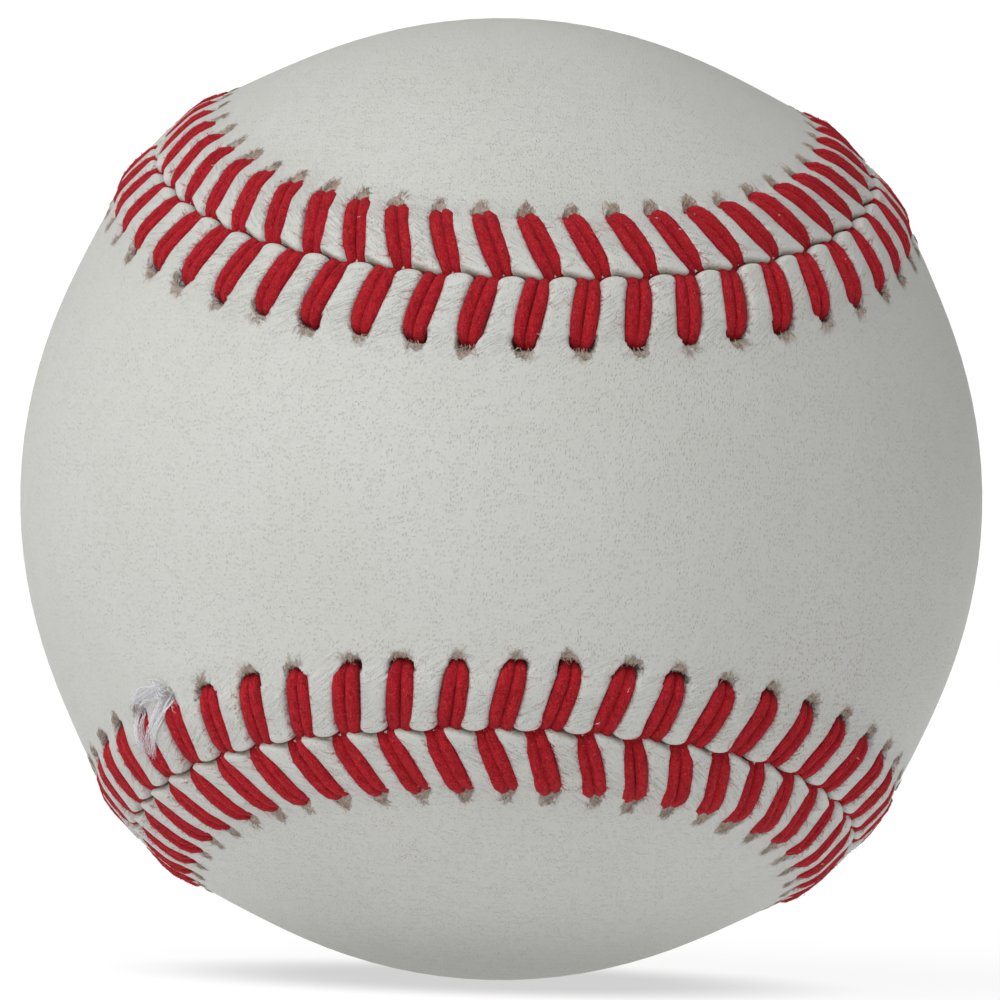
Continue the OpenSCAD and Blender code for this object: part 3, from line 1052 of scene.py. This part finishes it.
        torn, hole = self._hole(g, point, place, reach, salt)
        sunk = pressed.at_least(torn)
        changes = {
            "Geometry": g.size("Geometry"),
            "Selection": g.attribute("grain_side") > 0.5,
            "Position": g.maths("NORMALIZE", point) * (g.size("Ball Radius") + top - sunk),
        }
        moved = g.node("GeometryNodeSetPosition", changes)
        moved = g.store(moved, "hole", hole * (1 / MM))
        # The depth, which the leather's material turns into painted shade deep in its torn holes
        g.finish(g.store(moved, "hollow", sunk * (1 / MM)))
        return g

    def _floor(self, g: ShapeGraph, reach: Value) -> Value:
        """The leather's height under a stitch, which follows the thread's arc.

        Args:
            g: The tree.
            reach: The distance from the seam.

        Returns:
            The height above the smooth ball.
        """
        half = g.size("Hole Distance") * 0.5
        share = abs((reach - half) / half)
        arc = g.size("Stitch Height") * (1 - share**2.7).at_least(0.0) ** 0.37 - g.size("Stitch Sink")
        return (arc - g.size("Thread Radius")).at_least(-1.0 * g.size("Seam Depth"))

    def _hole(self, g: ShapeGraph, point: Value, place: Value, reach: Value, salt: int) -> Sequence[Value]:
        """The torn hole that a stitch goes down, some of them with two prongs.

        Args:
            g: The tree.
            point: The place of the point.
            place: The distance along the seam, counted in stitches.
            reach: The distance from the seam.
            salt: The seed of the first draw.

        Returns:
            How deep the hole is, and how far inside its torn rim the point lies.
        """
        nearest = g.maths("ROUND", place)
        stitch = nearest % float(self.seam.stitches)
        past = reach - (g.size("Hole Distance") - g.size("Hole Start"))
        length = g.size("Hole Length") * g.random(0.8, 1.2, stitch, salt + 4)
        share = (past / length).held()
        offset = (place - nearest) * g.size("Pitch")
        offset = offset - past * g.random(-0.32, 0.32, stitch, salt + 5)
        offset = offset + (g.noise(point, 0.9 * MM, 1.0) - 0.5) * g.size("Hole Ragged")
        half = g.size("Hole Half Width") * g.random(0.85, 1.15, stitch, salt + 6)
        inside = half * (1 - share**2.4) - abs(offset) - (past - length).at_least(0.0)
        prongs = (g.random(0.0, 1.0, stitch, salt + 7) > 0.5) * share.smooth(0.4, 0.7)
        ridge = 1 - abs(offset + 0.06 * MM).smooth(0.04 * MM, 0.26 * MM)
        inside = (inside - prongs * ridge * g.size("Prong Width")).at_most(past)
        deep = g.size("Hole Depth") * (1 - share.smooth(0.2, 0.75) * 0.86)
        return (inside / g.size("Hole Rim")).held() * deep, inside

    def build(self, finish: Material) -> Object:
        """Makes the finished panel in this leather."""
        return self.relief().make(self.skin(), finish, "cover_leather", self.name)


@dataclass
class StitchRow:
    """One thread's arcs over the leather, from each hole to the seam, on both panels."""

    seam: Seam
    strand: Strand
    strand_radius: float = 0.61 * MM
    spacing: float = 1.0 * MM
    sway: float = 0.07 * MM
    stitch_height: float = 1.34 * MM
    hole_sink: float = 0.5 * MM
    seam_distances: BySide = BySide(-0.08 * MM, 0.1 * MM)
    seam_sink: float = 0.65 * MM
    # How square the arcs are: 1 is a half ellipse, and less is fuller
    fullness: float = 0.70
    rings: int = 9
    sides: int = 8
    # How close the two threads draw together at the hole and at the seam
    hole_pinch: BySide = BySide(0.6, 0.8)
    seam_pinch: float = 0.64
    # How much thinner each thread is where it enters the hole and the seam
    hole_taper: BySide = BySide(0.2, 0.02)
    seam_taper: float = 0.06
    # How much chance there is in the places and leans, in stitches, and in the heights
    place_chance: float = 0.02
    lean_limit: float = 0.04
    height_chance: float = 0.035 * MM
    spread_chance: float = 0.14

    @property
    def name(self) -> str:
        """The CAD node that this thread stands for."""
        return f"thread_{self.strand.name.lower()}"

    def arcs(self, side: Side) -> dict[str, Array]:
        """Works out the frame of every arc on one panel.

        Args:
            side: The panel.

        Returns:
            What the tree needs, by the attribute's name, with a row for each stitch.
        """
        seam, count = self.seam, self.seam.stitches
        rng = np.random.default_rng(41 + side.value)
        place = np.arange(count, dtype=float)
        # The second row isn't used, and it keeps the later draws as they are
        shift = rng.normal(0, self.place_chance, (2, count))[0]
        near = seam.leather(place + shift, np.full(count, seam.hole_distances.on(side)), side)
        stray = np.clip(rng.normal(0, self.place_chance, count), -self.lean_limit, self.lean_limit)
        lean = seam.leans.on(side) + stray
        far = seam.leather(place + lean, np.full(count, self.seam_distances.on(side)), side)
        hole = near * (seam.ball_radius - self.hole_sink)
        end = far * (seam.ball_radius - self.seam_sink)
        chord, middle = unit(end - hole), (end + hole) / 2
        up = unit(middle)
        up = unit(up - np.einsum("ij,ij->i", up, chord)[:, None] * chord)
        tall = self.stitch_height - self.strand_radius + rng.normal(0, self.height_chance, count)
        draw = rng.random((4, count))
        spread = 1.0 + self.spread_chance * (draw[:3] - 0.5)
        own = np.random.default_rng(97 * (3 + self.strand.value) + side.value)
        return {
            "middle": middle,
            "chord": chord,
            "lift": up,
            "sideways": np.cross(chord, up) * side.value,
            "half": np.linalg.norm(end - hole, axis=1) / 2,
            "rise": seam.ball_radius + tall - np.linalg.norm(middle, axis=1),
            "spread": spread[0],
            "hole_pinch": self.hole_pinch.on(side) * spread[1],
            "seam_pinch": self.seam_pinch * spread[2],
            "thick": own.uniform(0.94, 1.05, count),
            "hole_taper": np.full(count, self.hole_taper.on(side)),
            "phase": draw[3] * TURN,
            "draw": own.random(count),
        }

    def carrier(self) -> Mesh:
        """Makes one loose edge for each arc, which carries its frame.

        Returns:
            The mesh.
        """
        both = [self.arcs(side) for side in Side]
        frames = {key: np.concatenate([arcs[key] for arcs in both]) for key in both[0]}
        reach = frames["chord"] * frames["half"][:, None]
        ends = np.stack([frames["middle"] - reach, frames["middle"] + reach], axis=1).reshape(-1, 3)
        edges = np.arange(len(ends)).reshape(-1, 2)
        layers = {key: np.repeat(values, 2, axis=0) for key, values in frames.items()}
        return new_mesh(self.name + "_twist", ends.tolist(), edges.tolist(), [], **layers)

    def winding(self) -> ShapeGraph:
        """The rule that bends each edge into an arc and wraps a thread round it.

        Returns:
            The tree.
        """
        sizes = named_sizes(self, "strand_radius", "rings", "sides", "fullness", "sway", "seam_taper")
        sizes["Strand Spacing"] = self.spacing * self.strand.value
        g = ShapeGraph(self.name + "_arcs", sizes)
        curve = g.node("GeometryNodeMeshToCurve", {"Mesh": g.size("Geometry")})
        curve = g.node("GeometryNodeResampleCurve", {"Curve": curve, "Count": g.size("Rings")})
        share = g.node("GeometryNodeSplineParameter").pick("Factor")
        way = share * 2.0 - 1.0
        near, far = way.at_most(0.0) ** 2.0, way.at_least(0.0) ** 2.0
        swing = way * (math.pi / 2)
        sine = g.maths("SINE", swing)
        forward = g.attribute("half") * g.maths("SIGN", sine) * abs(sine) ** g.size("Fullness")
        up = g.attribute("rise") * g.maths("COSINE", swing).at_least(0.0) ** g.size("Fullness")
        drawn = 1 - near * (1 - g.attribute("hole_pinch")) - far * (1 - g.attribute("seam_pinch"))
        aside = g.size("Strand Spacing") * 0.5 * drawn * g.attribute("spread")
        both = g.maths("SINE", way * 2.2 + g.attribute("phase"))
        alone = g.maths("SINE", way * 3.4 + g.attribute("draw") * TURN)
        aside = aside + g.size("Sway") * (both + alone * 0.6)
        vectors = [g.attribute(n, "FLOAT_VECTOR") for n in ("middle", "chord", "lift", "sideways")]
        place = vectors[0] + vectors[1] * forward + vectors[2] * up + vectors[3] * aside
        curve = g.node("GeometryNodeSetPosition", {"Geometry": curve, "Position": place})
        taper = 1 - g.attribute("hole_taper") * near - g.size("Seam Taper") * far
        thick = g.size("Strand Radius") * g.attribute("thick") * taper
        curve, along = g.capture(curve, "along_run", share)
        ring = g.node("GeometryNodeCurvePrimitiveCircle", {"Resolution": g.size("Sides"), "Radius": 1.0})
        factor = g.node("GeometryNodeSplineParameter").pick("Factor")
        ring, around = g.capture(ring, "turn", factor)
        tube = g.tube(curve, thick, ring)
        tube = g.store(tube, "along", along * (2.0 / MM) * g.attribute("half"))
        g.finish(g.store(tube, "around", around))
        return g

    def build(self, finish: Material) -> Object:
        """Makes the finished thread in this finish."""
        return self.winding().make(self.carrier(), finish, "red_thread", self.name)


@dataclass
class Surface:
    """The outside of the finished cover and stitches, on which loose fibres lie."""

    pieces: Sequence[Object]
    far: float = 50 * MM

    @cached_property
    def trees(self) -> list[BVHTree]:
        """A search tree for each piece."""
        meshes = [piece.data for piece in self.pieces]
        faces = [[tuple(p.vertices) for p in mesh.polygons] for mesh in meshes]
        return [BVHTree.FromPolygons([v.co for v in m.vertices], f) for m, f in zip(meshes, faces)]

    def radius(self, direction: Array) -> float:
        """Finds how far the ball's outside is from its centre.

        Args:
            direction: The direction from the centre, one metre long.

        Returns:
            The distance, or 0 where nothing is hit.
        """
        way = Vector(direction)
        hits = [tree.ray_cast(way * self.far, -way) for tree in self.trees]
        return max((hit[0].length for hit in hits if hit[0] is not None), default=0.0)


@dataclass
class Fibres:
    """Loose fibres, each a fine three-sided tube that tapers to its tip."""

    name: str
    slot: str
    thickness: float
    lines: list[Array] = field(default_factory=list)

    def build(self, finish: LooseFibre, seed: int) -> None:
        """Makes the finished fibres.

        Args:
            finish: Their finish.
            seed: The seed of their tones.
        """
        rng = np.random.default_rng(seed)
        edges, drawn, start = [], [], 0
        for line in self.lines:
            ids = np.arange(start, start + len(line))
            edges.append(np.stack([ids[:-1], ids[1:]], axis=1))
            drawn.append(np.full(len(line), rng.random()))
            start += len(line)
        points, edges = np.concatenate(self.lines).tolist(), np.concatenate(edges).tolist()
        mesh = new_mesh(self.name, points, edges, [], draw=np.concatenate(drawn))
        g = ShapeGraph(self.name + "_tubes", {"Thickness": self.thickness})
        curve = g.node("GeometryNodeMeshToCurve", {"Mesh": g.size("Geometry")})
        share = g.node("GeometryNodeSplineParameter").pick("Factor")
        ring = g.node("GeometryNodeCurvePrimitiveCircle", {"Resolution": 3, "Radius": 1.0})
        g.finish(g.tube(curve, g.size("Thickness") * (0.5 - 0.35 * share * share), ring))
        g.make(mesh, finish.material, self.slot)


@dataclass
class LooseEnds:
    """The hairs of the threads, the frayed leather in the holes and one tuft of lint."""

    seam: Seam
    surface: Surface
    # Hairs of a stitch: those on the threads, those at their edges and the few long ones
    felt_hairs: int = 22
    edge_hairs: int = 52
    long_hairs: int = 4
    hair_thickness: float = 0.034 * MM
    frays_per_hole: int = 24
    fray_thickness: float = 0.04 * MM
    # How much narrower a stitch is at its hole than in its middle
    narrowings: BySide = BySide(0.3, 0.05)
    # Each strand of the tuft, from one end to the other, as places in stitches and reaches in millimetres
    lint_strands: Sequence[tuple[Span, Span]] = (
        ((61.9, 6.5), (62.25, 2.5)),
        ((60.95, 5.7), (62.2, 2.3)),
        ((62.0, 6.2), (61.0, 6.4)),
        ((61.25, 6.7), (60.95, 5.0)),
    )
    lint_fibres: int = 42
    lint_thickness: float = 0.038 * MM
    strays: int = 70
    stray_points: int = 5
    red: LooseFibre = LooseFibre("red_hair", (0.54, 0.055, 0.068), (0.38, 0.010, 0.021))
    raw: LooseFibre = LooseFibre("raw_leather_hair", (0.52, 0.46, 0.39), (0.33, 0.24, 0.18))
    white: LooseFibre = LooseFibre("white_lint", (0.92, 0.91, 0.94), (0.78, 0.77, 0.80))

    def _over(self, place: Array, reach: Array, side: Side, lift: Any) -> Array:
        """Lays a line over the ball's outside.

        Args:
            place: How far along the seam its points are, counted in stitches.
            reach: How far across it they are.
            side: The panel.
            lift: How far above the outside they are.

        Returns:
            The points.
        """
        ways = self.seam.leather(place, reach, side)
        radii = np.array([self.surface.radius(way) for way in ways])
        radii = np.maximum(radii, self.seam.ball_radius - 0.6 * MM) + lift
        return ways * radii[:, None]

    def hairs(self, side: Side) -> Fibres:
        """The red hairs that lie over the threads of one panel and stand off their edges.

        Args:
            side: The panel.

        Returns:
            The fibres, still as lines.
        """
        rng = np.random.default_rng(7 + side.value)
        found = Fibres(f"thread_fuzz_{side.name.lower()}", "red_thread", self.hair_thickness)
        share = np.linspace(0, 1, 4)

        def lay(stitch: int, start: float, length: float, lift: float) -> None:
            """Lays one hair, which curls away from the middle of its stitch.

            Args:
                stitch: The stitch's number.
                start: How far from the stitch's middle it starts, in millimetres.
                length: Its length in millimetres.
                lift: How far its tip may stand off, in millimetres.
            """
            heading = rng.normal(0.0, 0.9) + rng.normal(0, 0.9) * share
            step = length * MM / (len(share) - 1)
            aside = np.sign(start) * (np.cumsum(np.cos(heading)) - math.cos(heading[0])) * step
            reaches = rng.uniform(0.5, 4.9) * MM + np.cumsum(np.sin(heading)) * step
            start *= MM * (1 - self.narrowings.on(side) * (reaches[0] / self.seam.hole_distances.front) ** 2)
            places = self.seam.sewn(stitch + (start + aside) / self.seam.pitch, reaches, side)
            lifts = (0.01 + rng.uniform(0.0, lift) * np.sin(np.pi * share * 0.75)) * MM
            found.lines.append(self._over(places, reaches, side, lifts))

        for stitch in range(self.seam.stitches):
            for _ in range(self.felt_hairs):
                lay(stitch, rng.uniform(-0.85, 0.85), rng.uniform(0.25, 0.7), 0.05)
            for _ in range(self.edge_hairs):
                lay(stitch, rng.choice([-1, 1]) * rng.uniform(0.8, 1.04), rng.gamma(3.0, 0.075), 0.15)
            for _ in range(rng.poisson(self.long_hairs)):
                lay(stitch, rng.choice([-1, 1]) * rng.uniform(0.7, 1.0), rng.uniform(0.5, 1.4), 0.15)
        return found

    def frays(self) -> Fibres:
        """The pale fibres of torn leather that fan out of the holes.

        Returns:
            The fibres, still as lines.
        """
        rng = np.random.default_rng(19)
        found = Fibres("hole_frays", "cover_leather", self.fray_thickness)
        run = np.linspace(0, 1, 4)
        holes = [(side, stitch) for side in Side for stitch in range(self.seam.stitches)]
        for side, stitch in holes:
            lean = rng.normal(0.0, 0.25)
            for _ in range(self.frays_per_hole):
                share = rng.uniform(0.0, 1.0)
                aside = rng.uniform(-0.62, 0.62) * (1 - 0.6 * share)
                heading = lean + aside * 0.9 + rng.normal(0, 0.35) + rng.normal(0, 0.6) * run
                length = rng.uniform(0.25, 0.8)
                place = stitch + (aside + np.sin(heading) * length * run) * MM / self.seam.pitch
                start = self.seam.hole_distances.on(side) + (0.5 + 0.55 * share) * MM
                reach = start + np.cos(heading) * length * run * MM
                lift = (0.02 + rng.uniform(0.02, 0.13) * np.sin(np.pi * run)) * MM
                rim = self.seam.ball_radius + self.seam.rise(reach) + lift
                found.lines.append(self.seam.leather(place, reach, side) * rim[:, None])
        return found

    def lint(self) -> Fibres:
        """The white tuft caught over a stitch at the lower left, and a few strays.

        Returns:
            The fibres, still as lines.
        """
        rng = np.random.default_rng(23)
        found = Fibres("lint_tuft", "cover_leather", self.lint_thickness)
        share = np.linspace(0, 1, 9)
        for start, end in self.lint_strands:
            for _ in range(self.lint_fibres):
                place = start[0] + (end[0] - start[0]) * share + rng.normal(0, 0.07)
                reach = start[1] + (end[1] - start[1]) * share + rng.normal(0, 0.22)
                place += np.cumsum(rng.normal(0.0, 0.03, len(share)))
                reach += np.cumsum(rng.normal(0.0, 0.09, len(share)))
                lift = (0.05 + rng.uniform(0.03, 0.4) * np.sin(np.pi * share)) * MM
                found.lines.append(self._over(place, reach * MM, Side.FRONT, lift))
        for _ in range(self.strays):
            side = rng.choice(list(Side))
            place = rng.uniform(0, self.seam.stitches) + np.cumsum(rng.normal(0.0, 0.05, self.stray_points))
            reach = rng.uniform(0.8, 5.5) * MM + np.cumsum(rng.normal(0.0, 0.12, self.stray_points)) * MM
            found.lines.append(self._over(place, reach, side, 0.03 * MM))
        return found

    def build(self) -> None:
        """Makes all the loose fibres."""
        for side in Side:
            self.hairs(side).build(self.red, 4 + side.value)
        self.frays().build(self.raw, 2)
        self.lint().build(self.white, 3)


@dataclass
class Core:
    """The windings and the pill, whose solids stay and get their finishes."""

    nodes: Mapping[str, Object]
    cork: GroundCork = GroundCork()
    black: MouldedRubber = MouldedRubber("black_rubber", (0.028, 0.028, 0.030), (0.12, 0.12, 0.12))
    red: MouldedRubber = MouldedRubber("red_rubber", (0.46, 0.050, 0.040), (0.60, 0.22, 0.18))
    grey_wool: WoundYarn = WoundYarn("grey_wool", (0.36, 0.40, 0.46), (0.12, 0.14, 0.18), 1.5)
    white_wool: WoundYarn = WoundYarn("white_wool", (0.80, 0.78, 0.70), (0.45, 0.42, 0.35), 1.3)
    fine_yarn: WoundYarn = WoundYarn("finish_yarn", (0.86, 0.85, 0.81), (0.55, 0.53, 0.48), 0.5)
    cement: RubberCement = RubberCement()

    def build(self) -> None:
        """Dresses every layer under the cover."""
        layers = {
            self.cork: ("cork_center",),
            self.black: ("inner_shell_upper", "inner_shell_lower"),
            self.red: ("gasket_ring", "rubber_jacket"),
            self.grey_wool: ("winding_base_wool", "winding_upper_wool"),
            self.white_wool: ("winding_white_wool",),
            self.fine_yarn: ("winding_finish_yarn",),
            self.cement: ("cement_coat",),
        }
        for finish, names in layers.items():
            for name in names:
                materials = self.nodes[name].data.materials
                materials.clear()
                materials.append(finish.material)
                log.info("%s: %s", name, finish.material.name)


@dataclass
class Studio:
    """A plain pale floor, soft light from all round with more of it from the left, and the camera."""

    ball_radius: float
    floor_sides: int = 96
    floor_rings: tuple[float, ...] = (0.2, 0.6, 1.6, 4.0)
    camera_distance: float = 0.840
    lens: float = 392.8
    turn_degrees: tuple[float, float, float] = (0.588, 2.206, 1.778)
    shift: Span = (-0.0013, -0.0009)
    sky_strength: float = 0.354
    horizon_strength: float = 0.68
    # The heights, as shares, between which the horizon's light fades into the sky's
    horizon_span: Span = (0.05, 0.12)
    lamp_softness: float = 60.0
    # Where each lamp shines from, and how strongly
    lamps: Sequence[tuple[str, Colour, float]] = (
        ("soft_key", (-0.5, -0.4, 0.77), 0.456),
        ("soft_fill", (-0.45, -0.6, 0.66), 0.372),
    )

    def floor(self) -> None:
        """Lays the round sheet of paper that the ball stands on."""
        sides, rings, z = self.floor_sides, self.floor_rings, -self.ball_radius
        angles = np.linspace(0, TURN, sides, endpoint=False)
        points = [(0.0, 0.0, z)]
        points += [(ring * math.cos(a), ring * math.sin(a), z) for ring in rings for a in angles]
        faces = [(0, 1 + i, 1 + (i + 1) % sides) for i in range(sides)]
        for a in range(1, 1 + (len(rings) - 1) * sides, sides):
            b = a + sides
            faces += [(a + i, b + i, b + (i + 1) % sides, a + (i + 1) % sides) for i in range(sides)]
        mesh = new_mesh("paper_floor", points, [], faces)
        mesh.materials.append(StudioPaper().material)
        new_object("paper_floor", mesh)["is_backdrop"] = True

    def sky(self) -> None:
        """Surrounds the ball with soft light, which is white at the horizon and grey above it."""
        world = bpy.data.worlds.new("soft_light")
        world.use_nodes = True
        bpy.context.scene.world = world
        g = Graph(world.node_tree)
        way = g.node("ShaderNodeTexCoord").pick("Generated")
        height = g.node("ShaderNodeSeparateXYZ", {"Vector": way}).pick("Z")
        band = 1 - height.smooth(*self.horizon_span)
        inputs = world.node_tree.nodes["Background"].inputs
        g.feed(inputs["Color"], (1.0, 1.0, 1.0))
        g.feed(inputs["Strength"], self.sky_strength + self.horizon_strength * band)

    def hang_lamps(self) -> None:
        """Hangs very soft lights above the ball, to its left and before it."""
        for name, way, strength in self.lamps:
            data = bpy.data.lights.new(name, "SUN")
            data.energy, data.angle = strength * math.pi, math.radians(self.lamp_softness)
            new_object(name, data).matrix_world = Vector(way).to_track_quat("Z", "Y").to_matrix().to_4x4()

    def camera(self) -> None:
        """Sets the camera as the photograph has it."""
        data = bpy.data.cameras.new("photo_camera")
        data.sensor_width, data.lens = 36.0, self.lens
        data.shift_x, data.shift_y = self.shift
        data.clip_start, data.clip_end = 0.05, 20.0
        tilt, roll, turn = (math.radians(d) for d in self.turn_degrees)
        ball = Matrix.Rotation(roll, 4, "Z") @ Matrix.Rotation(tilt, 4, "X") @ Matrix.Rotation(turn, 4, "Y")
        base = Matrix.Translation((0.0, -self.camera_distance, 0.0)) @ Matrix.Rotation(math.pi / 2, 4, "X")
        made = new_object("photo_camera", data)
        made.matrix_world = ball.inverted() @ base
        bpy.context.scene.camera = made

    def build(self) -> None:
        """Sets up the whole studio."""
        self.floor()
        self.sky()
        self.hang_lamps()
        self.camera()
        bpy.context.scene.view_settings.view_transform = "Standard"
        log.info("studio: floor, sky, lamps and camera")


def corners(box: Sequence[Vector]) -> list[list[float]]:
    """The two corners of a box as plain lists."""
    return [list(corner) for corner in box]


def main() -> None:
    """Builds the ball piece by piece, then the studio around it."""
    logging.basicConfig(level=logging.INFO, format="%(name)s: %(message)s")
    seam = Seam()
    Studio(seam.ball_radius).build()
    leather = CoverLeather().material
    panels = [CoverPanel(seam, side).build(leather) for side in Side]
    thread = WaxedThread().material
    threads = [StitchRow(seam, strand).build(thread) for strand in Strand]
    LooseEnds(seam, Surface([*panels, *threads])).build()
    Core(frame["nodes"]).build()


if __name__ == "__main__":
    main()
    {"cad": corners(CAD_BOX), "visual": corners(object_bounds())}
